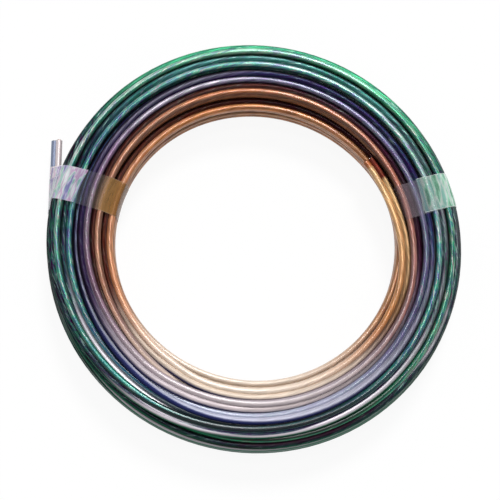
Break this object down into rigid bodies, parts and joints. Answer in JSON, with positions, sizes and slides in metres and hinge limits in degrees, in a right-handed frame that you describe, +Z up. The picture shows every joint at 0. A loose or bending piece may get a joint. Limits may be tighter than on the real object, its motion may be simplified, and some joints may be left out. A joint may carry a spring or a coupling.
{
  "type": "coiled speaker wire",
  "caption": "Coil of clear twin speaker wire lying flat, its turns bound by bands of clear tape, with a short free outer end and a cut inner end.",
  "frame": {"origin": "middle of the coil on the surface that it lies on, under the middle of the eye", "axes": "+Z up along the coil's axis, +X to the right and +Y away as in the picture, with the outer end at the far left"},
  "size_m": [0.175, 0.175, 0.0223],
  "materials": {
    "wound_clear_pvc": "glossy clear jacket with green tarnished strands showing through",
    "clear_pvc": "glossy clear jacket",
    "clear_pvc_inner": "glossy clear jacket with copper strands showing through",
    "bare_copper": "fine stranded copper",
    "tinned_copper": "fine stranded tinned copper",
    "clear_tape": "thin clear film"
  },
  "bodies": {
    "root": {"coil_turns": "wound_clear_pvc", "outer_turn_jacket": "clear_pvc", "outer_turn_copper_core": "bare_copper", "outer_turn_tinned_core": "tinned_copper", "inner_turn_jacket": "clear_pvc_inner", "inner_turn_copper_core": "bare_copper", "inner_turn_tinned_core": "tinned_copper", "left_tape": "clear_tape", "right_tape": "clear_tape"}
  },
  "joints": []
}
